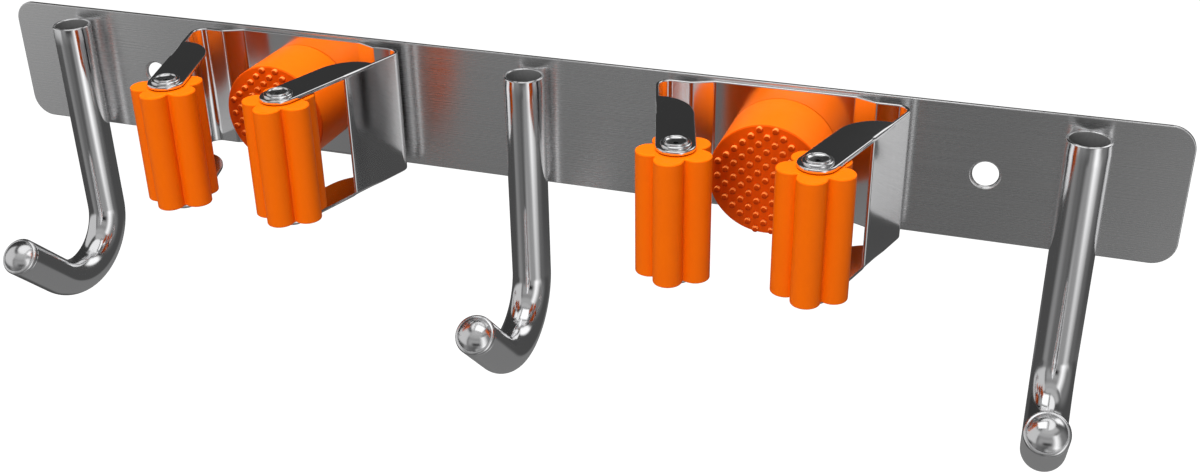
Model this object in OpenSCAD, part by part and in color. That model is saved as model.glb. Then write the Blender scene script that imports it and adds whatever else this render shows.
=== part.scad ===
// Wall mop holder rack: a steel back plate with three hooks and two spring clips.
// Millimetres. X runs along the plate, Y into the wall, Z up. Y = 0 is the wall face.

/* [Back plate] */
// Length of the back plate
plate_len = 330; // [270:1:420]
// Height of the back plate
plate_h = 36; // [32:0.5:50]
// Thickness of the back plate
plate_t = 1.0; // [0.8:0.1:2]
// Corner radius of the back plate
plate_corner = 6; // [2:0.5:12]
// Diameter of the two wall screw holes
screw_hole_d = 6.4; // [4:0.1:8]
// Width of the bevel round each wall screw hole
screw_bevel = 0.55; // [0.2:0.05:0.7]
// Place of a wall screw hole, as a share of the way from the middle hook to an end hook
screw_place = 0.84; // [0.82:0.01:0.88]

/* [Hooks] */
// Distance from the plate's end to the axis of an end hook
hook_inset = 23.7; // [15:0.1:35]
// Outside diameter of the hook tube
tube_od = 10.8; // [9:0.1:13]
// Wall thickness of the hook tube
tube_wall = 0.8; // [0.6:0.1:1.2]
// Drop of the tube's open top below the plate's top edge
tube_top_drop = 3.2; // [1:0.1:8]
// Straight length of the tube below the plate's bottom edge
tube_drop = 25.2; // [15:0.1:45]
// Bend radius of the tube, to its centre line
bend_r = 15.8; // [13:0.1:24]
// Angle the tube turns through, past level
bend_angle = 135; // [110:1:145]
// Straight length after the bend
tip_len = 17.5; // [10:0.1:28]
// Amount by which the bending thins the tube's tip, on its radius
tip_thin = 0.02; // [0.01:0.01:0.1]
// Depth of the flat where the tube is welded to the plate
weld_flat = 0.05; // [0.02:0.01:0.1]

/* [Hook caps] */
// Length of the cap's straight collar
cap_collar = 0.5; // [0.3:0.1:2]
// Radius of the cap's rounded shoulder
cap_shoulder = 1.1; // [0.5:0.1:2]
// Height of the cap's dome above its shoulder
cap_dome = 1.9; // [1:0.1:4]
// Length of the cap's spigot inside the tube
cap_spigot = 7; // [4:0.5:10]

/* [Spring clips] */
// Place of a clip, as a share of the way from the middle hook to an end hook
clip_place = 0.4827; // [0.46:0.001:0.52]
// Height of a clip
clip_h = 34.4; // [30:0.2:48]
// Thickness of the spring strip
strip_t = 1.0; // [0.8:0.05:1.4]
// Half width of the clip's flat base, up to its first bend
base_half = 17.5; // [16.5:0.1:19]
// Half width of a clip across its corners
clip_half = 31.9; // [30.5:0.1:36]
// Step of the strip away from the plate
joggle_rise = 2.4; // [2:0.1:4]
// Slope of that step
joggle_slope = 24; // [18:1:35]
// Bend radius of that step
joggle_bend = 2.5; // [2:0.1:3]
// Bend radius of the clip's corner
corner_bend = 3.2; // [2:0.1:4.2]
// Lean of the arms towards each other
arm_lean = 16.85; // [12:0.05:19]
// Distance from the plate's front to the back of the ears
ear_back = 14.2; // [12:0.1:17]
// Distance from the plate's front to the free edge of the arm's wall
wall_reach = 24.7; // [20:0.1:27]
// Distance from the plate's front to the roller's axis
pin_reach = 41.2; // [38.5:0.1:50]
// Radius of the ear's round end
ear_r = 4.75; // [4.2:0.05:5.5]
// Length of the ear's curved back
ear_curve = 11; // [7:0.5:13]

/* [Rollers] */
// Diameter over the roller's lobes
roller_d = 18.8; // [16:0.1:22]
// Number of lobes
lobes = 5; // [4:1:8]
// Radius of a lobe
lobe_r = 3.55; // [2.6:0.05:3.6]
// Depth of the valleys between the lobes
valley = 3.3; // [1.5:0.1:3.4]
// Gap between the roller's end and an ear
roller_gap = 0.35; // [0.2:0.05:1]
// Outside diameter of the roller's bush
bush_od = 7; // [6.4:0.1:8]

/* [Pins] */
// Diameter of the hollow pin
pin_d = 4.8; // [4.4:0.1:5.2]
// Bore of the hollow pin
pin_bore = 2.2; // [1.8:0.1:2.4]
// Diameter of the pin's low rim
rim_d = 7.3; // [6.4:0.1:8]
// Height of the pin's low rim
rim_h = 0.5; // [0.3:0.1:1]
// Diameter of the pin's raised ring
ring_d = 5.8; // [5.3:0.1:6]
// Height of the pin's raised ring
ring_h = 0.3; // [0.3:0.1:1]
// Width of the raised ring's wall
ring_wall = 0.4; // [0.3:0.05:0.6]
// Depth of the dish inside the raised ring
dish_depth = 0.4; // [0.2:0.1:0.6]
// Width of the lip round the pin's bore
lip_wall = 0.4; // [0.3:0.05:0.6]
// Height of the lip above the dish
lip_h = 0.25; // [0.1:0.05:0.4]

/* [Bumpers] */
// Diameter of a bumper
bumper_d = 29; // [24:0.5:31]
// Depth of a bumper in front of the clip's base
bumper_len = 17.8; // [12:0.1:20]
// Spacing of the nubs along a row
nub_pitch = 4; // [3:0.1:6]
// Diameter of a nub
nub_d = 1.5; // [0.8:0.1:2]
// Height of a nub
nub_h = 0.8; // [0.3:0.1:1]
// Diameter of the bumper's screw
screw_d = 4; // [3:0.1:5]
// Length of the screw inside the bumper
screw_grip = 9; // [6:0.5:10]

/* [Fits] */
// Radial clearance of the running bush on its pin
run_gap = 0.05; // [0.02:0.01:0.1]
// Radial clearance of pieces that are fixed in a hole
fixed_gap = 0.03; // [0.01:0.01:0.1]
// Gap at the arm's flexing line
flex_gap = 0.25; // [0.2:0.01:0.4]

/* [Broken edges] */
// Chamfer at the end of the cap's spigot
spigot_break = 0.3; // [0.1:0.05:0.4]
// Chamfer of the pin's raised ring
ring_break = 0.1; // [0.05:0.05:0.15]
// Chamfer of the pin's low rim
rim_break = 0.15; // [0.05:0.05:0.25]
// Point at the end of the bumper's screw
screw_point = 0.8; // [0.3:0.1:1.2]

/* [Hidden] */
$fn = 64;

// Cuts run this far past the faces they open
past = 1;
sliver = 0.01;

// Places along the plate
hook_x = plate_len / 2 - hook_inset;
screw_x = hook_x * screw_place;
clip_x = hook_x * clip_place;
front_y = -plate_t;

// Hook tube
tube_r = tube_od / 2;
tube_y = front_y - tube_r + weld_flat;
tube_top = plate_h / 2 - tube_top_drop;
bend_z = -plate_h / 2 - tube_drop;
bend_y = tube_y - bend_r;
bore_r = tube_r - tube_wall;
tip_r = tube_r - tip_thin;
tip_lap = 0.3;
spigot_r = bore_r - tip_thin - fixed_gap;
dome_r = tip_r - cap_shoulder;
dome_z = cap_collar + cap_shoulder;
dome_ball = (dome_r * dome_r + cap_dome * cap_dome) / (2 * cap_dome);
dome_a = asin(dome_r / dome_ball);

// Centre line of the clip's strip, seen from above: base, step, shoulder, corner and wall
base_y = front_y - strip_t / 2;
step_u = joggle_bend * sin(joggle_slope);
step_y = joggle_bend * (1 - cos(joggle_slope));
step_len = (joggle_rise - 2 * step_y) / sin(joggle_slope);
flex_u = base_half + step_u;
flex_y = base_y - step_y;
step_end_u = flex_u + step_len * cos(joggle_slope);
step_end_y = flex_y - step_len * sin(joggle_slope);
shoulder_y = base_y - joggle_rise;
corner_u = clip_half - strip_t / 2 - corner_bend;
corner_y = shoulder_y - corner_bend;
wall_u0 = corner_u + corner_bend * cos(arm_lean);
wall_y0 = corner_y - corner_bend * sin(arm_lean);

// Place of the strip's centre line and outer face at a distance in front of the plate
function wall_u(reach) = wall_u0 + (front_y - reach - wall_y0) * tan(arm_lean);
function outer_u(reach) = wall_u(reach) + strip_t / 2 / cos(arm_lean);

// Roller axis, one ear radius inside the arm's outer face
pin_y = front_y - pin_reach;
pin_u = outer_u(pin_reach) - ear_r / cos(arm_lean);
along = [-sin(arm_lean), -cos(arm_lean)];
inward = [-cos(arm_lean), sin(arm_lean)];
ear_0 = [outer_u(ear_back), front_y - ear_back];
ear_z = clip_h / 2 - strip_t;
pin_r = pin_d / 2;
rim_top = clip_h / 2 + rim_h;
ring_top = rim_top + ring_h;
ring_in = ring_d / 2 - ring_wall;
dish_z = ring_top - dish_depth;
bore = pin_bore / 2;
lip_out = bore + lip_wall;
lip_top = dish_z + lip_h;
bush_r = bush_od / 2;
bush_in = pin_r + run_gap;
bush_h = 2 * (ear_z - run_gap);
roller_h = 2 * (ear_z - roller_gap);
lobe_at = roller_d / 2 - lobe_r;
core_r = roller_d / 2 - valley;
bumper_y = front_y - strip_t;
face_y = bumper_y - bumper_len;
screw_r = screw_d / 2;
head_r = screw_r + plate_t;
head_sink = 0.05;
screw_end = plate_t + strip_t + screw_grip;
screw_room = 0.3;
nub_margin = 0.2;

steel = [0.62, 0.63, 0.65];
bright = [0.8, 0.81, 0.83];
orange = [0.93, 0.42, 0.02];
red_orange = [0.87, 0.33, 0.02];

// Points of an arc round c, from angle a to b, seen from above
function arc(c, r, a, b, n) = [for (i = [0:n]) c + r * [cos(a + (b - a) * i / n), sin(a + (b - a) * i / n)]];
function flip(points, side) = [for (p = points) [side * p[0], p[1]]];

// Step's first bend, step, second bend, shoulder and corner, offset by d to the strip's outer face
function first_bend(d, a, b) = arc([base_half, base_y - joggle_bend], joggle_bend + d, a, b, 6);
function second_bend(d) = arc([step_end_u + step_u, shoulder_y + joggle_bend], joggle_bend - d,
  270 - joggle_slope, 270, 6);
function corner_arc(d) = arc([corner_u, corner_y], corner_bend + d, 90, -arm_lean, 24);
function wall_end(d) = [[wall_u(wall_reach) + d / cos(arm_lean), front_y - wall_reach]];
function backwards(points) = [for (i = [len(points) - 1:-1:0]) points[i]];

module upright(points, side, height)
  translate([0, 0, -height / 2]) linear_extrude(height) polygon(flip(points, side));

module rod(x, y, z, r, h) translate([x, y, z]) cylinder(r = r, h = h);

module rod_y(x, y, z, r, h) translate([x, y, z]) rotate([90, 0, 0]) cylinder(r = r, h = h);

module back_plate() {
  color(steel) difference() {
    rotate([90, 0, 0]) linear_extrude(plate_t) difference() {
      square([plate_len, plate_h], center = true);
      for (i = [-1, 1], k = [-1, 1]) translate([i * plate_len / 2, k * plate_h / 2]) difference() {
        square(2 * plate_corner, center = true);
        translate([-i * plate_corner, -k * plate_corner]) circle(plate_corner);
      }
    }
    for (i = [-1, 1]) {
      rod_y(i * screw_x, past, 0, screw_hole_d / 2, plate_t + 2 * past);
      translate([i * screw_x, front_y + screw_bevel, 0]) rotate([90, 0, 0])
        cylinder(r1 = screw_hole_d / 2, r2 = screw_hole_d / 2 + screw_bevel + sliver, h = screw_bevel + sliver);
      rod_y(i * clip_x, past, 0, screw_r + fixed_gap, plate_t + 2 * past);
      translate([i * clip_x, sliver, 0]) rotate([90, 0, 0])
        cylinder(r1 = head_r + fixed_gap + sliver, r2 = screw_r + fixed_gap, h = plate_t + sliver);
    }
  }
}

// Local frame of the bend, with X towards the tube's straight part, and of the tip, with Z out of its end
module bend_frame(x)
  multmatrix([[0, 0, -1, x], [1, 0, 0, bend_y], [0, -1, 0, bend_z], [0, 0, 0, 1]]) children();

module tip_frame(x)
  bend_frame(x) rotate(bend_angle) translate([bend_r, tip_len, 0]) rotate([-90, 0, 0]) children();

// Solid J of radius r; over lengthens its two ends. The tip starts a little way inside the bend.
module j_rod(x, r, over) {
  rod(x, tube_y, bend_z, r, tube_top - bend_z + over);
  bend_frame(x) rotate_extrude(angle = bend_angle) translate([bend_r, 0]) circle(r);
  tip_frame(x) translate([0, 0, -tip_len - tip_lap]) cylinder(r = r - tip_thin, h = tip_len + tip_lap + over);
}

module hook(x) {
  color(bright) difference() {
    j_rod(x, tube_r, 0);
    j_rod(x, bore_r, past);
    translate([x - tube_od, front_y, -plate_h / 2]) cube([2 * tube_od, tube_r, plate_h]);
  }
}

// Half profile of the cap: spigot, collar, rounded shoulder and a shallow dome that starts in a fine line
module hook_cap(x) {
  ball_z = dome_z + cap_dome - dome_ball;
  color(bright) tip_frame(x) rotate_extrude() polygon(concat(
    [[0, -cap_spigot], [spigot_r - spigot_break, -cap_spigot]],
    [[spigot_r, spigot_break - cap_spigot], [spigot_r, 0], [tip_r, 0]],
    arc([dome_r, cap_collar], cap_shoulder, 0, 90, 6),
    [for (i = [1:7]) [dome_ball * sin(dome_a * (1 - i / 8)), ball_z + dome_ball * cos(dome_a * (1 - i / 8))]],
    [[0, dome_z + cap_dome]]));
}

module clip_base(x) {
  stop_a = 90 - joggle_slope + (strip_t / 2 + flex_gap) / joggle_bend * 180 / PI;
  back = first_bend(strip_t / 2, 90, stop_a);
  front = first_bend(-strip_t / 2, 90, stop_a);
  color(steel) translate([x, 0, 0]) difference() {
    upright(concat(flip(backwards(back), -1), back, backwards(front), flip(front, -1)), 1, clip_h);
    rod_y(0, 0, 0, screw_r + fixed_gap, plate_t + strip_t + past);
  }
}

// Plan of an ear: outer edge, round end over the pin, inner edge and curved back
function ear_plan() = concat(
  [ear_0],
  arc([pin_u, pin_y], ear_r, -arm_lean, -180 - arm_lean, 24),
  [for (a = [0:6:84]) ear_0 + along * ear_curve * (1 - sin(a)) + inward * 2 * ear_r * cos(a)]);

// Plan of the strip from its flexing line to the free edge of the wall
function arm_plan(h) = concat(
  arc([flex_u, flex_y], h, 270 - joggle_slope, 90 - joggle_slope, 8),
  second_bend(h), corner_arc(h), wall_end(h), wall_end(-h),
  backwards(corner_arc(-h)), backwards(second_bend(-h)));

module clip_arm(x, side) {
  color(steel) translate([x, 0, 0]) difference() {
    union() {
      upright(arm_plan(strip_t / 2), side, clip_h);
      for (z = [-clip_h / 2, ear_z]) translate([0, 0, z]) linear_extrude(strip_t)
        polygon(flip(ear_plan(), side));
    }
    rod(side * pin_u, pin_y, -clip_h, pin_r + fixed_gap, 2 * clip_h);
  }
}

module roller(x, side) {
  color(orange) translate([x + side * pin_u, pin_y, -roller_h / 2]) linear_extrude(roller_h) difference() {
    union() {
      circle(core_r);
      for (i = [0:lobes - 1]) rotate(-90 + i * 360 / lobes) translate([lobe_at, 0]) circle(lobe_r);
    }
    circle(bush_r + fixed_gap);
  }
}

module bush(x, side) {
  color(steel) translate([x + side * pin_u, pin_y, -bush_h / 2]) difference() {
    cylinder(r = bush_r, h = bush_h);
    translate([0, 0, -past]) cylinder(r = bush_in, h = bush_h + 2 * past);
  }
}

// Half profile of the pin from its middle up: shank, low rim, raised ring, dish, lip and bore
function pin_half() = [[pin_r, clip_h / 2], [rim_d / 2, clip_h / 2], [rim_d / 2, rim_top - rim_break],
  [rim_d / 2 - rim_break, rim_top], [ring_d / 2, rim_top], [ring_d / 2, ring_top - ring_break],
  [ring_d / 2 - ring_break, ring_top], [ring_in, ring_top], [lip_out, dish_z], [lip_out, lip_top],
  [bore, lip_top]];

module pin(x, side)
  color(bright) translate([x + side * pin_u, pin_y, 0]) rotate_extrude() polygon(concat(
    pin_half(), backwards([for (p = pin_half()) [p[0], -p[1]]])));

// Nubs stand in staggered rows, half a pitch apart each way
module nubs() {
  rows = floor((bumper_d / 2 - nub_d) / (nub_pitch / 2));
  for (k = [-rows:rows], m = [-rows:rows]) {
    u = m * nub_pitch + (abs(k) % 2) * nub_pitch / 2;
    v = k * nub_pitch / 2;
    if (norm([u, v]) < bumper_d / 2 - nub_d / 2 - nub_margin) rod_y(u, face_y, v, nub_d / 2, nub_h);
  }
}

module bumper(x) {
  color(red_orange) translate([x, 0, 0]) difference() {
    union() {
      rod_y(0, bumper_y, 0, bumper_d / 2, bumper_len);
      nubs();
    }
    rod_y(0, bumper_y + past, 0, screw_r + fixed_gap, screw_grip + past + screw_room);
  }
}

module bumper_screw(x) {
  color(steel) translate([x, 0, 0]) rotate([90, 0, 0]) rotate_extrude() polygon([
    [0, head_sink], [head_r - head_sink, head_sink], [screw_r, plate_t], [screw_r, screw_end - screw_point],
    [screw_r - screw_point, screw_end], [0, screw_end]]);
}

back_plate();
hook(-hook_x);  // left_hook
hook(0);  // middle_hook
hook(hook_x);  // right_hook
hook_cap(-hook_x);  // left_hook_cap
hook_cap(0);  // middle_hook_cap
hook_cap(hook_x);  // right_hook_cap
clip_base(-clip_x);  // left_clip_base
clip_base(clip_x);  // right_clip_base
clip_arm(-clip_x, -1);  // left_clip_left_arm
clip_arm(-clip_x, 1);  // left_clip_right_arm
clip_arm(clip_x, -1);  // right_clip_left_arm
clip_arm(clip_x, 1);  // right_clip_right_arm
bumper(-clip_x);  // left_bumper
bumper(clip_x);  // right_bumper
bumper_screw(-clip_x);  // left_bumper_screw
bumper_screw(clip_x);  // right_bumper_screw
roller(-clip_x, -1);  // left_clip_left_roller
roller(-clip_x, 1);  // left_clip_right_roller
roller(clip_x, -1);  // right_clip_left_roller
roller(clip_x, 1);  // right_clip_right_roller
bush(-clip_x, -1);  // left_clip_left_bush
bush(-clip_x, 1);  // left_clip_right_bush
bush(clip_x, -1);  // right_clip_left_bush
bush(clip_x, 1);  // right_clip_right_bush
pin(-clip_x, -1);  // left_clip_left_pin
pin(-clip_x, 1);  // left_clip_right_pin
pin(clip_x, -1);  // right_clip_left_pin
pin(clip_x, 1);  // right_clip_right_pin
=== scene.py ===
# %% [markdown]
# # A wall rack for mops and brooms
# The rack is a long brushed steel plate that is screwed to a wall. Three J-shaped tube hooks are
# welded to it, and between them sit two spring clips. Each clip is one bent strip of spring steel
# with a lobed rubber roller at each end and a rubber bumper in its middle.
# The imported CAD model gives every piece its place. This file gives each piece its finished surface:
# rounded edges, turned ends and real finishes, all in metres and in the frame of the CAD model.

import math

import bpy
import numpy as np
from mathutils import Matrix, Vector
from mathutils.geometry import tessellate_polygon


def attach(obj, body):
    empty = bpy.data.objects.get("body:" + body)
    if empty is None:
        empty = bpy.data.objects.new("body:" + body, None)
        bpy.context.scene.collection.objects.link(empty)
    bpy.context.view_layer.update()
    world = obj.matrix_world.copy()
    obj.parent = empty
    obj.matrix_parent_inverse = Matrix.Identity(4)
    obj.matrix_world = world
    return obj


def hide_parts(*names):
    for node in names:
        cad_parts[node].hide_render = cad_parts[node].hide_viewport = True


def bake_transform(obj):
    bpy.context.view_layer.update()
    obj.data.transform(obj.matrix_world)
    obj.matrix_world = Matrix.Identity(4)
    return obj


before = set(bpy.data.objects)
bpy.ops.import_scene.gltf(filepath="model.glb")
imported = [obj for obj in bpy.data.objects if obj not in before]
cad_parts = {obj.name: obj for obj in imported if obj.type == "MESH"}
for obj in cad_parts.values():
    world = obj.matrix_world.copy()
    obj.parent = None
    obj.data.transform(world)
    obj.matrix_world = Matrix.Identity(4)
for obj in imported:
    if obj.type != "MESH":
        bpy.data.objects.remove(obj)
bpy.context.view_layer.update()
MM = 0.001

# %% [markdown]
# ## The camera
# The picture was taken from the right, above and fairly close, so the right end of the plate looks
# taller than the left one. The camera stands there. It is turned to the left, looks down,
# and is tilted by one degree. A small shift puts the middle of the lens where the picture has it.

# %% Camera
PICTURE_WIDTH = 1200
FOCAL_PIXELS = 1434.6
LENS_MIDDLE = (594.4, 239.1)
PICTURE_MIDDLE = (600.0, 236.5)
camera_place = Vector((0.1346, -0.3323, 0.1507))
camera_turn = math.radians(19.56)
camera_dip = math.radians(27.67)
camera_tilt = math.radians(-1.01)

camera_data = bpy.data.cameras.new("camera")
camera_data.sensor_width = 36
camera_data.lens = FOCAL_PIXELS / PICTURE_WIDTH * camera_data.sensor_width
camera_data.shift_x = (PICTURE_MIDDLE[0] - LENS_MIDDLE[0]) / PICTURE_WIDTH
camera_data.shift_y = (LENS_MIDDLE[1] - PICTURE_MIDDLE[1]) / PICTURE_WIDTH
camera_data.clip_start = 0.01
camera_data.clip_end = 50
camera = bpy.data.objects.new("camera", camera_data)
bpy.context.scene.collection.objects.link(camera)
camera.matrix_world = (
    Matrix.Translation(camera_place)
    @ Matrix.Rotation(camera_turn, 4, "Z")
    @ Matrix.Rotation(math.pi / 2 - camera_dip, 4, "X")
    @ Matrix.Rotation(camera_tilt, 4, "Z")
)
bpy.context.scene.camera = camera
bpy.context.scene.view_settings.view_transform = "Standard"
print("lens", round(camera_data.lens, 2), "mm")

# %% [markdown]
# ## Sizes
# These are the real sizes in millimetres, the same that the CAD model was drawn with. Only the caps'
# shoulders, the pins' heads and the nubs differ from it, by tenths of a millimetre. Every surface
# below is worked out from these sizes, so a piece can't drift away from the piece that carries it.

# %% Sizes of the rack
PLATE_LEN, PLATE_H, PLATE_T, PLATE_CORNER = 330.0, 36.0, 1.0, 6.0
HOOK_X = PLATE_LEN / 2 - 23.7
SCREW_X = HOOK_X * 0.84
CLIP_X = HOOK_X * 0.4827
HOOK_PLACES = {"left": -HOOK_X, "middle": 0.0, "right": HOOK_X}
CLIP_PLACES = {"left": -CLIP_X, "right": CLIP_X}
SCREW_HOLE_R, SCREW_BEVEL = 3.2, 0.55
FRONT_Y = -PLATE_T

TUBE_R, TUBE_WALL = 5.4, 0.8
TUBE_Y = FRONT_Y - TUBE_R + 0.05
TUBE_TOP = PLATE_H / 2 - 3.2
BEND_Z = -PLATE_H / 2 - 25.2
BEND_R, BEND_ANGLE, TIP_LEN = 15.8, 135.0, 17.5
CAP_COLLAR, CAP_SHOULDER, CAP_DOME = 0.5, 0.85, 2.15

STRIP_T, CLIP_H = 1.0, 34.4
BASE_HALF, CLIP_HALF = 17.5, 31.9
JOGGLE_RISE, JOGGLE_SLOPE, JOGGLE_BEND = 2.4, math.radians(24), 2.5
CORNER_BEND, ARM_LEAN = 3.2, math.radians(16.85)
EAR_BACK, WALL_REACH, PIN_REACH = 14.2, 24.7, 41.2
EAR_R, EAR_CURVE = 4.75, 11.0

ROLLER_R, LOBES, LOBE_R, VALLEY, ROLLER_H = 9.4, 5, 3.55, 3.3, 31.7
BUSH_R = 3.5
PIN_R, PIN_BORE_R, RIM_R, RIM_H, RING_R, RING_H = 2.4, 0.55, 3.7, 0.62, 2.95, 0.34
BUMPER_R, BUMPER_LEN, NUB_PITCH, NUB_ROW, NUB_R, NUB_H = 14.5, 17.8, 4.0, 1.91, 0.78, 0.95
BUMPER_FACE = FRONT_Y - STRIP_T - BUMPER_LEN
print("hooks at", HOOK_X, "clips at", round(CLIP_X, 2), "wall screws at", round(SCREW_X, 2))

# %% [markdown]
# ## Surfaces from grids of points
# Nearly every piece here is a row of rings: a closed outline that is carried along a path, turned
# round an axis, or pulled in step by step over a rounded edge. So one helper joins a grid of points,
# ring after ring, with quads. A flat end is filled by Blender's polygon filler, which also knows
# holes. A ring at the axis is a single point, so that the surface closes there without a gap.

# %% Rings into a mesh
def ring_faces(first, rings, points, closed=False):
    """Quads of a grid: corner (i, j), its neighbour on the ring, and the same two on the next."""
    i = np.arange(rings if closed else rings - 1)[:, None]
    j = np.arange(points)[None, :]
    k, m = (i + 1) % rings, (j + 1) % points
    quads = np.stack([i * points + j, i * points + m, k * points + m, k * points + j], axis=-1)
    return (quads.reshape(-1, 4) + first).tolist()


def fan_faces(first, pole, points, outwards):
    """Triangles from a pole to each edge of the ring that starts at first."""
    j = np.arange(points)
    m = (j + 1) % points
    tip = np.full(points, pole)
    corners = [first + j, first + m, tip] if outwards else [first + m, first + j, tip]
    return np.stack(corners, axis=-1).tolist()


def make_piece(name, points, faces, crease=35):
    """A mesh object from points in millimetres. Edges sharper than the crease angle stay sharp. A
    point's normal is the mean of its faces' normals, weighted by their areas, so a large flat face
    beside a small round stays flat in its reflections."""
    mesh = bpy.data.meshes.new(name)
    mesh.from_pydata((np.asarray(points) * MM).tolist(), [], faces)
    mesh.validate()
    mesh.shade_smooth()
    mesh.set_sharp_from_angle(angle=math.radians(crease))
    piece = bpy.data.objects.new(name, mesh)
    bpy.context.scene.collection.objects.link(piece)
    weighted = piece.modifiers.new("Flat faces stay flat", "WEIGHTED_NORMAL")
    weighted.mode, weighted.weight, weighted.keep_sharp = "FACE_AREA", 50, True
    return piece


def finish_piece(piece, body, node, material):
    """Gives a piece its finish and lets it ride on its CAD body in place of its CAD node."""
    piece.data.materials.append(material)
    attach(piece, body)
    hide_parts(node)


# %% [markdown]
# ## Turned pieces and bent tubes
# A turned piece is a profile of distances along an axis and from it. A tube is the same idea with
# a bent axis: each ring stands square to the path. Both use one frame of three directions at every
# ring: along the path, and two across it.

# %% Rings round an axis or a path
def circle_rings(centres, along, across, radii, points):
    """Ring i is centre i plus its radius times (cos a times the first direction across plus sin a
    times the second one). The second direction is along crossed with the first."""
    angle = np.linspace(0, 2 * np.pi, points, endpoint=False)
    across = np.broadcast_to(across, along.shape)
    second = np.cross(along, across)
    ring = (np.cos(angle)[None, :, None] * across[:, None, :]
            + np.sin(angle)[None, :, None] * second[:, None, :])
    return centres[:, None, :] + radii.reshape(len(radii), -1, 1) * ring


def turned(origin, along, across, profile, points=96, six_sided=()):
    """Points and faces of a profile turned round an axis. A profile row is (distance along the
    axis, radius); a first or last radius of 0 is a pole.
    Rows named in six_sided are hexagons: their radius is divided by the cosine of the angle from
    the middle of the nearest flat."""
    profile = np.asarray(profile, float)
    along = np.asarray(along, float) / np.linalg.norm(along)
    starts, ends = profile[0, 1] == 0, profile[-1, 1] == 0
    rows = profile[int(starts):len(profile) - int(ends)]
    centres = np.asarray(origin, float) + rows[:, :1] * along
    radii = np.repeat(rows[:, 1:2], points, axis=1)
    turn = np.linspace(0, 2 * np.pi, points, endpoint=False)
    hexagon = 1 / np.cos((turn + np.pi / 6) % (np.pi / 3) - np.pi / 6)
    for row in six_sided:
        radii[row - int(starts)] *= hexagon
    way = np.broadcast_to(along, centres.shape)
    rings = circle_rings(centres, way, np.asarray(across, float), radii, points)
    found, faces = rings.reshape(-1, 3), ring_faces(0, len(rows), points, closed=not (starts or ends))
    if starts:
        faces += fan_faces(0, len(found), points, outwards=False)
        found = np.vstack([found, np.asarray(origin) + profile[0, 0] * along])
    if ends:
        faces += fan_faces((len(rows) - 1) * points, len(found), points, outwards=True)
        found = np.vstack([found, np.asarray(origin) + profile[-1, 0] * along])
    return found, faces


def rounded(corner, before, after, radius, steps=5):
    """Points of a round of that radius that replaces a corner between two straight sides of a
    profile or plan."""
    corner, before, after = (np.asarray(p, float) for p in (corner, before, after))
    a = (before - corner) / np.linalg.norm(before - corner)
    b = (after - corner) / np.linalg.norm(after - corner)
    half = math.acos(float(np.clip(a @ b, -1, 1))) / 2
    middle = corner + (a + b) / np.linalg.norm(a + b) * radius / math.sin(half)
    start = corner + a * radius / math.tan(half) - middle
    end = corner + b * radius / math.tan(half) - middle
    t = np.linspace(0, 1, steps)[:, None]
    swing = start * (1 - t) + end * t
    return middle + swing / np.linalg.norm(swing, axis=1)[:, None] * radius


def soften(corners, radii, steps=5):
    """A profile with its corners rounded, each by its own radius. Corners with radius 0 stay, and
    so do both ends."""
    out = []
    for i, radius in enumerate(radii):
        if radius:
            out.append(rounded(corners[i], corners[i - 1], corners[i + 1], radius, steps))
        else:
            out.append([corners[i]])
    return np.vstack(out)


# %% [markdown]
# ## Sheets with rounded edges
# A sheet is a plan with a thickness. Real sheet metal has no knife edges: its rims catch a thin line
# of light. So the plan is pulled in a little, ring by ring, over a quarter round at its top and at
# its bottom, and what is left is filled flat. A hole is a loop that runs the other way round, and
# being pulled in then makes the hole wider.

# %% A slab with rounded rims
def pulled_in(loop, inset):
    """A closed loop with each point moved inwards by its inset, square to the two edges that meet
    there."""
    before, after = loop - np.roll(loop, 1, axis=0), np.roll(loop, -1, axis=0) - loop
    n1 = np.stack([before[:, 1], -before[:, 0]], axis=1) / np.linalg.norm(before, axis=1)[:, None]
    n2 = np.stack([after[:, 1], -after[:, 0]], axis=1) / np.linalg.norm(after, axis=1)[:, None]
    return loop - np.asarray(inset).reshape(-1, 1) * (n1 + n2) / (1 + (n1 * n2).sum(1))[:, None]


def slab(loops, rims, to_frame):
    """Points and faces of a sheet. Each loop has a list of rims (inset, height) from the top face
    to the bottom face; an inset may be one number for each point.
    to_frame turns (u, v, height) into millimetres in the rack's frame."""
    points, faces, tops, bottoms = [], [], [], []
    for loop, rim in zip(loops, rims):
        first = sum(len(p) for p in points)
        rings = [np.column_stack([pulled_in(loop, inset), np.broadcast_to(height, len(loop))])
                 for inset, height in rim]
        points += rings
        faces += [face[::-1] for face in ring_faces(first, len(rings), len(loop))]
        tops.append((first, rings[0]))
        bottoms.append((first + (len(rings) - 1) * len(loop), rings[-1]))
    for ends, wanted in ((tops, 1), (bottoms, -1)):
        index = np.concatenate([np.arange(len(ring)) + first for first, ring in ends])
        flat = np.vstack([ring[:, :2] for _, ring in ends])
        outlines = [[Vector((u, v, 0)) for u, v, _ in ring] for _, ring in ends]
        for triangle in tessellate_polygon(outlines):
            a, b, c = flat[list(triangle)]
            turn = (b - a)[0] * (c - a)[1] - (b - a)[1] * (c - a)[0]
            face = [int(index[t]) for t in triangle]
            faces.append(face if turn * wanted > 0 else face[::-1])
    return to_frame(np.vstack(points)), faces


def quarter(radius, level, steps=4):
    """Rims over a quarter round from a flat top at that level: the inset shrinks as one minus the
    sine and the drop grows as one minus the cosine. The radius may be one number for each point."""
    angle = np.linspace(0, np.pi / 2, steps + 1)
    return [(radius * (1 - np.sin(a)), level - radius * (1 - np.cos(a))) for a in angle]


def rim_pair(top_round, bottom_round, high, low):
    """Rims of a plain sheet edge: a quarter round at the top and another at the bottom."""
    lower = [(inset, low + (high - height)) for inset, height in quarter(bottom_round, high)]
    return quarter(top_round, high) + lower[::-1]


def arc_points(centre, radius, start, end, steps):
    """Points on an arc, its angles in radians."""
    angle = np.linspace(start, end, steps + 1)
    return np.asarray(centre) + radius * np.stack([np.cos(angle), np.sin(angle)], axis=1)


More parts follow.
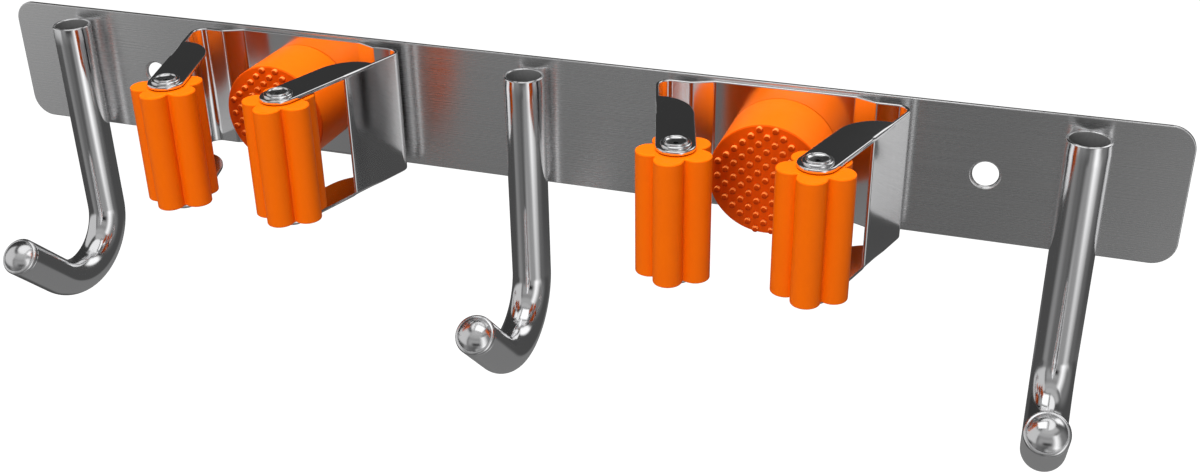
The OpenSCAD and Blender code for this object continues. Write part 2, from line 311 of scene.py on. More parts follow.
# %% [markdown]
# ## Finishes
# Each finish is a small network of nodes. The metals are true metals whose roughness and surface
# carry the marks of how they were made: long brush lines on the plate, fine rolling lines on the
# spring strip, and faint polishing marks on the tubes. The rubber has a fine grain and small
# changes of colour. All patterns are read from Object coordinates, in metres, so they stay put.

# %% Helpers for finishes
BRUSH_TANGENT = (0.06, 0.03, 1.0)


class Finish:
    """A material with its shader, and short ways to add nodes to it."""

    def __init__(self, name, color, metallic, roughness):
        self.material = bpy.data.materials.new(name)
        self.material.use_nodes = True
        self.nodes, self.links = self.material.node_tree.nodes, self.material.node_tree.links
        self.shader = self.nodes["Principled BSDF"]
        self.shader.inputs["Base Color"].default_value = (*color, 1)
        self.shader.inputs["Metallic"].default_value = metallic
        self.shader.inputs["Roughness"].default_value = roughness
        self.place = self.nodes.new("ShaderNodeTexCoord").outputs["Object"]

    def noise(self, stretch, detail=3.0):
        """Noise whose grains per metre along X, Y and Z are given by stretch."""
        mapping = self.nodes.new("ShaderNodeMapping")
        mapping.inputs["Scale"].default_value = stretch
        self.links.new(self.place, mapping.inputs["Vector"])
        texture = self.nodes.new("ShaderNodeTexNoise")
        texture.inputs["Scale"].default_value = 1.0
        texture.inputs["Detail"].default_value = detail
        self.links.new(mapping.outputs["Vector"], texture.inputs["Vector"])
        return texture.outputs["Fac"]

    def ranged(self, value, low, high, to_low, to_high):
        """Value from low to high, mapped smoothly to the range from to_low to to_high."""
        node = self.nodes.new("ShaderNodeMapRange")
        node.interpolation_type = "SMOOTHSTEP"
        numbers = {"From Min": low, "From Max": high, "To Min": to_low, "To Max": to_high}
        for name, number in numbers.items():
            node.inputs[name].default_value = number
        self.links.new(value, node.inputs["Value"])
        return node.outputs["Result"]

    def mixed(self, share, first, second):
        """A colour between two colours, by a share from 0 to 1. Each may be a colour or a socket."""
        node = self.nodes.new("ShaderNodeMix")
        node.data_type = "RGBA"
        self.links.new(share, node.inputs["Factor"])
        for socket, color in ((node.inputs[6], first), (node.inputs[7], second)):
            if isinstance(color, tuple):
                socket.default_value = (*color, 1)
            else:
                self.links.new(color, socket)
        return node.outputs[2]

    def axis(self, name):
        """One Object coordinate, in metres."""
        node = self.nodes.new("ShaderNodeSeparateXYZ")
        self.links.new(self.place, node.inputs["Vector"])
        return node.outputs[name]

    def bump(self, height, depth, after=None):
        """Raises the surface by height times depth, in metres, on top of an earlier bump."""
        node = self.nodes.new("ShaderNodeBump")
        node.inputs["Distance"].default_value = depth
        self.links.new(height, node.inputs["Height"])
        if after is not None:
            self.links.new(after, node.inputs["Normal"])
        return node.outputs["Normal"]

    def kept(self, name):
        """A number that is kept on the piece's points."""
        node = self.nodes.new("ShaderNodeAttribute")
        node.attribute_name = name
        return node.outputs["Fac"]

    def wire(self, socket, value):
        self.links.new(value, self.shader.inputs[socket])

    def brushed(self, amount):
        """Stretches the gloss up and down, as brush lines along the sheet do."""
        self.shader.inputs["Anisotropic"].default_value = amount
        tangent = self.nodes.new("ShaderNodeCombineXYZ")
        for socket, number in zip(tangent.inputs, BRUSH_TANGENT):
            socket.default_value = number
        self.wire("Tangent", tangent.outputs["Vector"])


# %% Brushed plate
def brushed_plate():
    """Brush lines: noise drawn out 40 mm along the plate and 0.2 mm across it, with a slower cloud
    below it."""
    steel = Finish("brushed_plate_steel", (0.80, 0.80, 0.803), 1.0, 0.28)
    lines = steel.noise((25, 25, 5200), 3.0)
    clouds = steel.noise((14, 14, 60), 2.0)
    steel.wire("Roughness", steel.ranged(lines, 0.35, 0.65, 0.26, 0.30))
    steel.wire("Base Color", steel.mixed(clouds, (0.785, 0.785, 0.79), (0.815, 0.815, 0.818)))
    steel.wire("Normal", steel.bump(lines, 0.0000009))
    steel.brushed(0.85)
    return steel.material


# %% Polished tubes
def polished_steel(name, shade, rough=0.12):
    """Polished steel with faint marks and a slow change of gloss."""
    steel = Finish(name, (shade, shade, shade * 1.01), 1.0, rough)
    marks = steel.noise((260, 260, 1500), 3.0)
    clouds = steel.noise((60, 60, 60), 2.0)
    steel.gloss = steel.ranged(clouds, 0.3, 0.7, rough * 0.8, rough * 1.3)
    steel.wire("Roughness", steel.gloss)
    steel.wire("Normal", steel.bump(marks, 0.000001))
    return steel


def polished_hook(shade):
    """The hook is polished outside. Its bore, which is marked on its points, is dull and only partly
    metal, and its colour is darkened as painted shade inside the tube."""
    steel = polished_steel("polished_hook_steel", shade)
    inside = steel.kept("inside")
    rough = steel.nodes.new("ShaderNodeMix")
    steel.links.new(inside, rough.inputs["Factor"])
    steel.links.new(steel.gloss, rough.inputs[2])
    rough.inputs[3].default_value = 0.5
    steel.wire("Roughness", rough.outputs[0])
    steel.wire("Metallic", steel.ranged(inside, 0.0, 1.0, 1.0, 0.3))
    # Painted shade: the bore's colour is darker than the outside's.
    steel.wire("Base Color", steel.mixed(inside, (shade, shade, shade * 1.01), (0.2, 0.2, 0.2)))
    return steel.material


# %% Rolled spring steel
def rolled_spring_steel():
    """Bright rolled strip: fine lines along the strip, and a gloss that is a little drawn out up
    and down."""
    steel = Finish("rolled_spring_steel", (0.80, 0.80, 0.805), 1.0, 0.13)
    lines = steel.noise((60, 60, 2600), 3.0)
    clouds = steel.noise((70, 70, 30), 2.0)
    steel.wire("Roughness", steel.ranged(clouds, 0.3, 0.7, 0.11, 0.16))
    steel.wire("Base Color", steel.mixed(lines, (0.78, 0.78, 0.785), (0.82, 0.82, 0.825)))
    steel.wire("Normal", steel.bump(lines, 0.000002))
    steel.brushed(0.6)
    return steel.material


# %% Rubber
ORANGE = (0.90, 0.150, 0.001)
# The bumper face's painted shade, then the nubs' painted shade and painted highlight.
SHADED_FACE_ORANGE = (0.72, 0.080, 0.001)
NUB_PAINTED_SHADE, NUB_PAINTED_HIGHLIGHT = (0.32, 0.022, 0.001), (0.88, 0.24, 0.05)


def rubber(name, color, other):
    """Matte rubber: two close colours in slow clouds under a fine grain."""
    skin = Finish(name, color, 0.0, 0.4)
    skin.shader.inputs["Specular IOR Level"].default_value = 0.06
    clouds, grain = skin.noise((180, 180, 180), 3.0), skin.noise((5200, 5200, 5200), 2.0)
    skin.color = skin.mixed(clouds, color, other)
    skin.wire("Base Color", skin.color)
    skin.wire("Roughness", skin.ranged(clouds, 0.3, 0.7, 0.33, 0.4))
    skin.wire("Normal", skin.bump(grain, 0.00002))
    return skin


def bumper_rubber():
    """The bumper's side is bright, and its working face is painted a deeper, redder orange as shade
    that the arms and rollers cast on it: the distance from the wall tells them apart. The nubs get a
    painted highlight on top and painted shade below, by their slope."""
    skin = rubber("bumper_rubber", (0.89, 0.145, 0.002), (0.86, 0.132, 0.002))
    face_y = BUMPER_FACE * MM
    # Painted shade: the working face is a deeper orange than the side.
    face = skin.ranged(skin.axis("Y"), face_y + 0.0002, face_y + 0.0006, 1.0, 0.0)
    slope = skin.kept("slope")
    skin.color = skin.mixed(face, skin.color, SHADED_FACE_ORANGE)
    # Painted highlight on a nub's top and painted shade below it and on its flat end, by slope.
    below, above = skin.ranged(slope, -0.6, -0.1, 1.0, 0.0), skin.ranged(slope, 0.1, 0.5, 0.0, 1.0)
    skin.color = skin.mixed(below, skin.color, NUB_PAINTED_SHADE)
    skin.wire("Base Color", skin.mixed(above, skin.color, NUB_PAINTED_HIGHLIGHT))
    return skin.material


# %% All finishes
def black_plastic():
    plastic = Finish("bush_plastic", (0.02, 0.02, 0.021), 0.0, 0.4)
    grain = plastic.noise((2500, 2500, 2500), 2.0)
    plastic.wire("Roughness", plastic.ranged(grain, 0.3, 0.7, 0.34, 0.5))
    plastic.wire("Normal", plastic.bump(grain, 0.00001))
    return plastic.material


plate_steel, hook_steel = brushed_plate(), polished_hook(0.84)
cap_steel = polished_steel("polished_cap_steel", 0.86, 0.2).material
spring_steel = rolled_spring_steel()
pin_steel = polished_steel("polished_pin_steel", 0.88).material
screw_steel = polished_steel("screw_steel", 0.6).material
roller_rubber = rubber("roller_rubber", ORANGE, (0.86, 0.135, 0.001)).material
nub_rubber, bush_plastic = bumper_rubber(), black_plastic()
print("finishes:", plate_steel.name, hook_steel.name, spring_steel.name, nub_rubber.name)

# %% [markdown]
# ## The back plate
# The plate is a cut sheet with round corners. Its front rims are eased by a third of a millimetre,
# which draws the light line along its top. The two wall screw holes have a bevel in two slopes on
# the front, and behind each clip sits a countersunk hole for the bumper's screw.

# %% Back plate
def corner_loop(length, height, radius, steps=14):
    """A rectangle with round corners, counter-clockwise: four quarter arcs about the corners'
    centres."""
    quarters = []
    for number, (i, k) in enumerate(((1, -1), (1, 1), (-1, 1), (-1, -1))):
        centre = (i * (length / 2 - radius), k * (height / 2 - radius))
        start = -np.pi / 2 + number * np.pi / 2
        quarters.append(arc_points(centre, radius, start, start + np.pi / 2, steps))
    return np.vstack(quarters)


def hole_loop(x, z, radius, steps=64):
    """A circle that runs clockwise, so that pulling it in makes it wider."""
    angle = -np.linspace(0, 2 * np.pi, steps, endpoint=False)
    return np.stack([x + radius * np.cos(angle), z + radius * np.sin(angle)], axis=1)


def on_the_wall(points):
    """A plan drawn in X and Z, with its height towards the room."""
    return np.stack([points[:, 0], -points[:, 2], points[:, 1]], axis=1)


FRONT_EASE, BACK_EASE = 0.32, 0.1
SINK_R, SHANK_R = 3.03, 2.03
wall_hole = [(SCREW_BEVEL + 0.12, PLATE_T), (SCREW_BEVEL + 0.04, PLATE_T - 0.04),
             (0.32, PLATE_T - 0.28), (0.24, PLATE_T - 0.38), (0.03, PLATE_T - 0.82),
             (0.0, PLATE_T - 0.88), (0.0, BACK_EASE), (BACK_EASE, 0.0)]
bumper_hole = [(0.0, PLATE_T), (SINK_R - SHANK_R, 0.0)]
plate_loops = [corner_loop(PLATE_LEN, PLATE_H, PLATE_CORNER)]
plate_rims = [rim_pair(FRONT_EASE, BACK_EASE, PLATE_T, 0.0)]
for side in (-1, 1):
    plate_loops += [hole_loop(side * SCREW_X, 0, SCREW_HOLE_R), hole_loop(side * CLIP_X, 0, SHANK_R)]
    plate_rims += [wall_hole, bumper_hole]
plate = make_piece("plate_sheet", *slab(plate_loops, plate_rims, on_the_wall))
finish_piece(plate, "rack", "back_plate", plate_steel)
print("plate faces:", len(plate.data.polygons))

# %% [markdown]
# ## The hooks
# A hook is a thin tube: straight down along the plate, round a bend of 135 degrees, and a short way
# up again. It is drawn as one closed skin that runs down the outside, over the cut end, and back up
# the bore. The open top shows the cut: a narrow land between two eased edges. Where the tube touches
# the plate it is pressed flat by a hair, as the weld leaves it.

# %% Hook tube
def hook_path(x):
    """Points and directions along the tube: down, round in steps of 3 degrees, and up the tip."""
    angle = np.radians(np.arange(0, BEND_ANGLE + 1.5, 3.0))
    down = np.linspace(TUBE_TOP, BEND_Z, 24)[:-1]
    bend = np.stack([np.full(len(angle), x), TUBE_Y - BEND_R + BEND_R * np.cos(angle),
                     BEND_Z - BEND_R * np.sin(angle)], axis=1)
    bend_way = np.stack([np.zeros(len(angle)), -np.sin(angle), -np.cos(angle)], axis=1)
    tip = bend[-1] + np.linspace(0, TIP_LEN, 8)[1:, None] * bend_way[-1]
    straight = np.stack([np.full(len(down), x), np.full(len(down), TUBE_Y), down], axis=1)
    path = np.vstack([straight, bend, tip])
    way = np.vstack([np.tile([0, 0, -1.0], (len(down), 1)), bend_way,
                     np.tile(bend_way[-1], (len(tip), 1))])
    return path, way


def tube_skin(x):
    """The tube's closed skin, and which of its points are inside. Outside and bore follow the same
    path at two radii. Quarter rounds join them at the top and a fine edge at the tip."""
    path, way = hook_path(x)
    ease, tip_ease, turn = 0.3, 0.05, np.linspace(0, np.pi / 2, 7)
    bore = TUBE_R - TUBE_WALL
    top = [(ease * (1 - math.cos(a)), bore + ease * (1 - math.sin(a))) for a in turn[::-1]]
    top += [(ease * (1 - math.sin(a)), TUBE_R - ease * (1 - math.cos(a))) for a in turn]
    rows = [(path[0] + shift * way[0], way[0], radius) for shift, radius in top]
    rows += [(p, w, TUBE_R) for p, w in zip(path[1:-1], way[1:-1])]
    rows += [(path[-1] - tip_ease * way[-1], way[-1], TUBE_R), (path[-1], way[-1], TUBE_R - tip_ease),
             (path[-1], way[-1], bore)]
    rows += [(p, w, bore) for p, w in zip(path[-2:0:-1], way[-2:0:-1])]
    centres, along, radii = (np.array([row[i] for row in rows], float) for i in range(3))
    found = circle_rings(centres, along, np.array([1.0, 0, 0]), radii, 72)
    pressed = found[..., 2] > -PLATE_H / 2
    found[..., 1] = np.where(pressed, np.minimum(found[..., 1], FRONT_Y), found[..., 1])
    inside = np.repeat(radii < bore + 0.02, 72)
    return found.reshape(-1, 3), ring_faces(0, len(rows), 72, closed=True), inside


def keep_value(piece, name, values):
    """Keeps one number per point on a piece, for its material to read."""
    kept = piece.data.attributes.new(name, "FLOAT", "POINT")
    kept.data.foreach_set("value", np.asarray(values, np.float32))


for name, x in HOOK_PLACES.items():
    points, faces, inside = tube_skin(x)
    hook = make_piece(name + "_hook_tube", points, faces)
    keep_value(hook, "inside", inside)
    finish_piece(hook, "rack", name + "_hook", hook_steel)
print("hook skin points:", len(hook.data.vertices))

# %% [markdown]
# ## The caps
# A turned steel cap closes each hook. A short collar as wide as the tube comes first, then a rounded
# shoulder, a fine line and a dome. The profile is turned round the tip's axis. Its spigot goes into
# the tube, where nobody sees it.

# %% Hook caps
def cap_profile():
    """Distance along the tip and radius. The dome is a cap of a ball whose radius follows from the
    dome's height h and the radius r of its edge: (r r + h h) / 2h."""
    spigot_r, line = TUBE_R - TUBE_WALL - 0.06, 0.08
    edge_r, edge_z = TUBE_R - CAP_SHOULDER, CAP_COLLAR + CAP_SHOULDER
    top = edge_z + CAP_DOME
    start = [(-2.0, 0.0), (-2.0, spigot_r), (0.02, spigot_r),
             (0.02, TUBE_R - line), (0.02 + line, TUBE_R)]
    turn = np.radians(np.linspace(0, 84, 13))
    shoulder = np.stack([CAP_COLLAR + CAP_SHOULDER * np.sin(turn),
                         edge_r + CAP_SHOULDER * np.cos(turn)], axis=1)
    ball = (edge_r ** 2 + CAP_DOME ** 2) / (2 * CAP_DOME)
    turn = np.linspace(math.asin(edge_r / ball), 0, 24)[:-1]
    dome = np.stack([top - ball + ball * np.cos(turn), ball * np.sin(turn)], axis=1)
    return np.vstack([start, shoulder, [(edge_z - line, edge_r + 0.03)], dome, [(top, 0.0)]])


for name, x in HOOK_PLACES.items():
    path, way = hook_path(x)
    cap = make_piece(name + "_cap_dome", *turned(path[-1], way[-1], (1, 0, 0), cap_profile(), 72))
    finish_piece(cap, "rack", name + "_hook_cap", cap_steel)
print("tip of a tube in mm:", np.round(path[-1], 1))

# %% [markdown]
# ## The spring clips
# A clip is one strip of spring steel, 34 mm high and 1 mm thick. It lies flat on the plate, steps
# away from it, turns a corner and comes forward as a wall. At its top and bottom the wall is folded
# inwards into two ears that carry the roller's pin. Here the strip is a small rounded rectangle that
# is carried along the strip's plan, and the ears are slabs whose outer rim is rounded like a fold.
# The flat base stays with the plate.

# %% Plan of the strip
EDGE_ROUND, FOLD_ROUND, EAR_EDGE, EAR_START = 0.42, 0.85, 0.45, 0.6
HAIR, LOW_H = 0.02, CLIP_H - 1.8
FULL_SECTION = corner_loop(STRIP_T, CLIP_H, EDGE_ROUND, 5)
BASE_Y = FRONT_Y - STRIP_T / 2
STEP_U, STEP_Y = JOGGLE_BEND * math.sin(JOGGLE_SLOPE), JOGGLE_BEND * (1 - math.cos(JOGGLE_SLOPE))
STEP_LEN = (JOGGLE_RISE - 2 * STEP_Y) / math.sin(JOGGLE_SLOPE)
CORNER = (CLIP_HALF - STRIP_T / 2 - CORNER_BEND, BASE_Y - JOGGLE_RISE - CORNER_BEND)
ALONG = np.array([-math.sin(ARM_LEAN), -math.cos(ARM_LEAN)])
INWARD = np.array([-math.cos(ARM_LEAN), math.sin(ARM_LEAN)])


def wall_at(reach):
    """The middle of the arm's wall at a distance in front of the plate."""
    start = np.array(CORNER) - INWARD * CORNER_BEND
    return start + ALONG * (reach - (FRONT_Y - start[1])) / math.cos(ARM_LEAN)


def arm_path():
    """Plan of the arm's middle line and the side that faces out: first bend, step, second bend,
    shoulder, corner and wall. Last comes how far each point reaches in front of the plate."""
    first = np.linspace(np.pi / 2, np.pi / 2 - JOGGLE_SLOPE, 9)
    second = np.linspace(1.5 * np.pi - JOGGLE_SLOPE, 1.5 * np.pi, 7)
    corner = np.linspace(np.pi / 2, -ARM_LEAN, 22)
    start = np.array([BASE_HALF, BASE_Y - JOGGLE_BEND])
    step = np.array([STEP_U + STEP_LEN * math.cos(JOGGLE_SLOPE) + STEP_U,
                     2 * JOGGLE_BEND - JOGGLE_RISE])
    ear_reaches = [EAR_BACK, EAR_BACK + EAR_START, EAR_BACK + EAR_START + 0.15]
    reaches = np.concatenate([[9, 11, 13], ear_reaches, np.linspace(16, WALL_REACH - 0.4, 5)])
    points, outward = [], []
    bends = ((first, start, JOGGLE_BEND, 1), (second, start + step, JOGGLE_BEND, -1),
             (corner, np.array(CORNER), CORNER_BEND, 1))
    for angle, centre, radius, turn in bends:
        ray = np.stack([np.cos(angle), np.sin(angle)], axis=1)
        points.append(centre + radius * ray)
        outward.append(turn * ray)
    points.append(np.array([wall_at(reach) for reach in reaches]))
    outward.append(np.tile(-INWARD, (len(reaches), 1)))
    points, outward = np.vstack(points), np.vstack(outward)
    return points, outward, FRONT_Y - points[:, 1]


# %% Strip along its plan
def strip(points, outward, sections):
    """Carries a section along a plan: its first number goes out from the middle line and its second
    one up. Both ends are closed flat."""
    sections = np.asarray(sections)
    across = points[:, None, :] + sections[..., :1] * outward[:, None, :]
    rings = np.concatenate([across, sections[..., 1:]], axis=2)
    count = sections.shape[1]
    first, last = list(range(count)), list(range((len(points) - 1) * count, len(points) * count))
    return rings.reshape(-1, 3), ring_faces(0, len(points), count) + [first[::-1], last]


def arm_wall():
    """The arm's strip. It runs a short way into the ears, a hair thinner than they are, and under
    them it is lower, because there the ear itself makes the fold. Its free end is rounded by
    pulling the section in over a quarter round."""
    points, outward, reach = arm_path()
    thinner = corner_loop(STRIP_T - HAIR, CLIP_H - HAIR, EDGE_ROUND, 5)
    lower, ears = corner_loop(STRIP_T, LOW_H, HAIR, 5), EAR_BACK + EAR_START + 0.1
    sections = [FULL_SECTION if r <= EAR_BACK else thinner if r < ears else lower for r in reach]
    for angle in np.linspace(0, np.pi / 2, 5)[1:]:
        pull = EDGE_ROUND * (1 - math.cos(angle))
        points = np.vstack([points, wall_at(WALL_REACH - EDGE_ROUND + EDGE_ROUND * math.sin(angle))])
        outward = np.vstack([outward, -INWARD])
        sections.append(corner_loop(STRIP_T - 2 * pull, LOW_H, HAIR, 5))
    return strip(points, outward, sections)


# %% Ears
CLEARANCE = 0.03


def ear_outline():
    """Plan of an ear, counter-clockwise, and the round of its upper rim at each point. The rim is a
    wide round along the fold and a small one where the sheet was cut."""
    ear_0 = wall_at(EAR_BACK) - INWARD * STRIP_T / 2
    pin = wall_at(PIN_REACH) - INWARD * STRIP_T / 2
    pin = pin + np.array([-EAR_R / math.cos(ARM_LEAN), 0])
    length = float((pin - ear_0) @ ALONG)
    fold_end = (WALL_REACH - EAR_BACK) / math.cos(ARM_LEAN)
    at_fold_end = fold_end + np.array([-0.3, 0.1, 0.5, 0.9, 1.6])
    walk = np.concatenate([[0, 0.35, 0.7, 1.1, 1.5, 1.9], np.linspace(2.5, fold_end - 0.8, 6),
                           at_fold_end, np.linspace(fold_end + 4, length - 0.5, 3)])
    rim = np.interp(walk, [EAR_START + 0.1, 5.0, fold_end - 0.3, fold_end + 0.9],
                    [EDGE_ROUND, FOLD_ROUND, FOLD_ROUND, EAR_EDGE])
    outer = ear_0 + walk[:, None] * ALONG
    tip = arc_points(pin, EAR_R, -ARM_LEAN, -np.pi - ARM_LEAN, 28)
    turn = np.radians(np.arange(0, 90, 6))[:, None]
    back = ear_0 + ALONG * EAR_CURVE * (1 - np.sin(turn)) + INWARD * 2 * EAR_R * np.cos(turn)
    plan = np.vstack([outer, tip, back])
    rims = np.concatenate([rim, np.full(len(tip) + len(back), EAR_EDGE)])
    return plan[::-1], rims[::-1], pin


def ear():
    """The upper ear: a slab with a hole for the pin."""
    plan, rims, pin = ear_outline()
    high, low = CLIP_H / 2, CLIP_H / 2 - STRIP_T
    edge = quarter(rims, high, 5) + [(0.0, low + 0.12), (0.035, low + 0.035), (0.12, low)]
    hole = [(0.0, high), (0.0, low)]
    return slab([plan, hole_loop(*pin, PIN_R + CLEARANCE, 40)], [edge, hole], lambda p: p)


def joined(*parts):
    """Several sets of points and faces as one."""
    starts = np.cumsum([0] + [len(points) for points, _ in parts])
    faces = [[index + int(start) for index in face]
             for (_, faces), start in zip(parts, starts) for face in faces]
    return np.vstack([points for points, _ in parts]), faces


def mirrored(points, faces, axis):
    """The same surface on the other side of a plane: one coordinate changes sign and every face is
    turned round."""
    points = points.copy()
    points[:, axis] *= -1
    return points, [face[::-1] for face in faces]


upper_ear = ear()
arm_right = joined(arm_wall(), upper_ear, mirrored(*upper_ear, 2))
flat_ends = np.array([[-BASE_HALF, BASE_Y], [BASE_HALF, BASE_Y]])
base_strip = strip(flat_ends, np.tile([0.0, 1.0], (2, 1)), [FULL_SECTION] * 2)
print("arm points:", len(arm_right[0]), "faces:", len(arm_right[1]))

# %% [markdown]
# ## Rollers and pins
# A roller is an extruded rubber bar of five round lobes on a core, cut off square and eased at its
# rims. It turns on a bush, and the bush on a hollow pin that is headed over on each ear: a low rim
# on the sheet, a rolled ring on it, and a bowl that leads down to a small bore.

# %% Roller and pin
PIN = ear_outline()[2]
LOBE_AT, CORE_R = ROLLER_R - LOBE_R, ROLLER_R - VALLEY
ROLLER_EASE, BOWL_DEPTH = 0.4, 0.65


def lobed_plan():
    """Outline of the roller. The angle at which a lobe's circle meets the core's follows from the
    cosine rule on their two radii and the distance between their centres."""
    meet = math.acos((LOBE_AT ** 2 + CORE_R ** 2 - LOBE_R ** 2) / (2 * LOBE_AT * CORE_R))
    swing = math.atan2(CORE_R * math.sin(meet), CORE_R * math.cos(meet) - LOBE_AT)
    parts = []
    for number in range(LOBES):
        middle = -np.pi / 2 + number * 2 * np.pi / LOBES
        lobe_centre = LOBE_AT * np.array([math.cos(middle), math.sin(middle)])
        after = middle + 2 * np.pi / LOBES
        parts.append(arc_points(lobe_centre, LOBE_R, middle - swing, middle + swing, 30))
        parts.append(arc_points((0, 0), CORE_R, middle + meet, after - meet, 4)[1:-1])
    return np.vstack(parts)


def roller_body():
    """The roller, with a bore for the bush."""
    rims = rim_pair(ROLLER_EASE, ROLLER_EASE, ROLLER_H / 2, -ROLLER_H / 2)
    bore = [(0.0, ROLLER_H / 2), (0.0, -ROLLER_H / 2)]
    loops = [lobed_plan(), hole_loop(0, 0, BUSH_R + CLEARANCE, 40)]
    return slab(loops, [rims, bore], lambda p: p + np.array([*PIN, 0]))


def pin_body():
    """Half of the pin's profile goes up the outside, over the rim, round the rolled ring and down
    a bowl into the bore. The other half is its mirror.
    The bowl is a quarter of an ellipse: the radius shrinks as the cosine of the turn and the depth
    grows as its sine."""
    rim = CLIP_H / 2 + RIM_H
    top, roll = rim + RING_H, RING_H * 0.62
    outside = soften([(0, PIN_R), (CLIP_H / 2, PIN_R), (CLIP_H / 2, RIM_R), (rim, RIM_R),
                      (rim - 0.03, RING_R - 0.02), (rim, RING_R)], [0, 0, 0.04, 0.5, 0.02, 0])
    ring = arc_points((top - roll, RING_R - roll), roll, np.pi / 2, -np.pi / 4, 12)
    turn = np.linspace(0, np.pi / 2, 14)[1:]
    bowl_r, bowl_z = ring[-1, 1] - PIN_BORE_R, ring[-1, 0]
    bowl = np.stack([bowl_z - BOWL_DEPTH * np.sin(turn), PIN_BORE_R + bowl_r * np.cos(turn)], axis=1)
    half = np.vstack([outside[:-1], ring, bowl, [(0, PIN_BORE_R)]])
    return turned((*PIN, 0), (0, 0, 1), (1, 0, 0), np.vstack([half, half[-2:0:-1] * (-1, 1)]), 64)


roller_right, pin_right = roller_body(), pin_body()
for clip, clip_x in CLIP_PLACES.items():
    shift = np.array([clip_x, 0, 0])
    base = make_piece(clip + "_clip_flat", base_strip[0] + shift, base_strip[1])
    finish_piece(base, "rack", clip + "_clip_base", spring_steel)
    for side, turn in (("left", -1), ("right", 1)):
        shapes = [shape if turn > 0 else mirrored(*shape, 0)
                  for shape in (arm_right, roller_right, pin_right)]
        name = f"{clip}_clip_{side}"
        arm, roller, pin = (make_piece(f"{name}_{word}", points + shift, faces)
                            for word, (points, faces) in zip(("strip", "lobes", "rivet"), shapes))
        arm.data.materials.append(spring_steel)
        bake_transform(arm)
        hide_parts(name + "_arm")
        finish_piece(roller, name + "_roller_set", name + "_roller", roller_rubber)
        finish_piece(pin, name + "_arm", name + "_pin", pin_steel)
        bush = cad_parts[name + "_bush"]
        bush.data.materials.clear()
        bush.data.materials.append(bush_plastic)
print("roller faces:", len(roller.data.polygons), "pin faces:", len(pin.data.polygons))

# %% [markdown]
# ## Bumpers
# The bumper is a short turned rubber drum. Its working face carries rows of small nubs, staggered
# by half a pitch, so that a handle doesn't slide. One nub is made once as a few small rings, and
# numpy copies it to every place. The screw that holds the bumper shows from behind only:
# a countersunk head with a hexagon socket.

# %% Bumpers and their screws
def nub_places():
    """Centres of the nubs: every pitch along a row, and every second row moved by half a pitch."""
    reach = int(BUMPER_R // NUB_ROW)
    count = np.arange(-reach, reach + 1)
    row, step = (a.ravel() for a in np.meshgrid(count, count, indexing="ij"))
    places = np.stack([step * NUB_PITCH + (np.abs(row) % 2) * NUB_PITCH / 2, row * NUB_ROW], axis=1)
    return places[np.hypot(*places.T) < BUMPER_R - NUB_R - 0.1]


def bumper_body(x):
    """Drum and nubs. Each nub is the same turned peg, moved to its place on the face. Also each
    point's slope, by which the finish paints a highlight on top of a peg and shade below it and on
    its
    flat end: from 1 on top of a peg's side to -1 below it, a little under 0 on its flat end, and 0 on
    the drum."""
    corners = [(0, 0), (0, BUMPER_R), (BUMPER_LEN, BUMPER_R), (BUMPER_LEN, 0)]
    outline = soften(corners, [0, 0.3, 0.35, 0])
    drum = turned((x, FRONT_Y - STRIP_T, 0), (0, -1, 0), (1, 0, 0), outline, 120)
    peg_outline = [(-0.15, 0), (-0.15, NUB_R), (NUB_H - 0.16, NUB_R), (NUB_H - 0.05, NUB_R - 0.07),
                   (NUB_H, NUB_R - 0.2), (NUB_H, 0)]
    peg, peg_faces = turned((x, BUMPER_FACE, 0), (0, -1, 0), (1, 0, 0), peg_outline, 14)
    places = nub_places()
    moves = np.stack([places[:, 0], np.zeros(len(places)), places[:, 1]], axis=1)
    pegs = (peg[None] + moves[:, None]).reshape(-1, 3)
    faces = [[index + number * len(peg) for index in face]
             for number in range(len(places)) for face in peg_faces]
    slope = np.where(np.hypot(peg[:, 0] - x, peg[:, 2]) > NUB_R - 0.1, peg[:, 2] / NUB_R, -0.4)
    slopes = np.concatenate([np.zeros(len(drum[0])), np.tile(slope, len(places))])
    return *joined(drum, (pegs, faces)), slopes


def screw_body(x):
    """From the socket's floor out to the head's flat, down its cone and along the shank."""
    socket, head, shank = 1.25, 2.95, 2.0
    profile = [(0.85, 0), (0.85, socket), (0.12, socket), (0.05, socket + 0.15), (0.05, head - 0.1),
               (0.1, head), (1.0, shank), (10.2, shank), (11.0, shank - 0.8), (11.0, 0)]
    return turned((x, 0, 0), (0, -1, 0), (1, 0, 0), profile, 48, six_sided=(1, 2))


for clip, clip_x in CLIP_PLACES.items():
    points, faces, slope = bumper_body(clip_x)
    bumper = make_piece(clip + "_bumper_drum", points, faces)
    keep_value(bumper, "slope", slope)
    finish_piece(bumper, "rack", clip + "_bumper", nub_rubber)
    screw = make_piece(clip + "_socket_screw", *screw_body(clip_x))
    finish_piece(screw, "rack", clip + "_bumper_screw", screw_steel)
print("nubs on a bumper:", len(nub_places()))

# %% [markdown]
# ## Studio
# Polished steel shows what stands round it, so the studio is built for the steel. A round tent that
# only reflections can see carries soft cards of light and dark: a bright roof, a strip of light on
# the right, grey walls, and darkness behind the rack, which draws the dark outlines and makes the
# ears black. A softbox hangs close over the rack. The rubber is lit by the plain white room and two
# large soft lamps. The white floor far below the rack keeps its shadow, and the room behind
# everything is white.

# %% Tent of soft cards
TENT_R = 3.0
WALL_LIGHT = 0.074
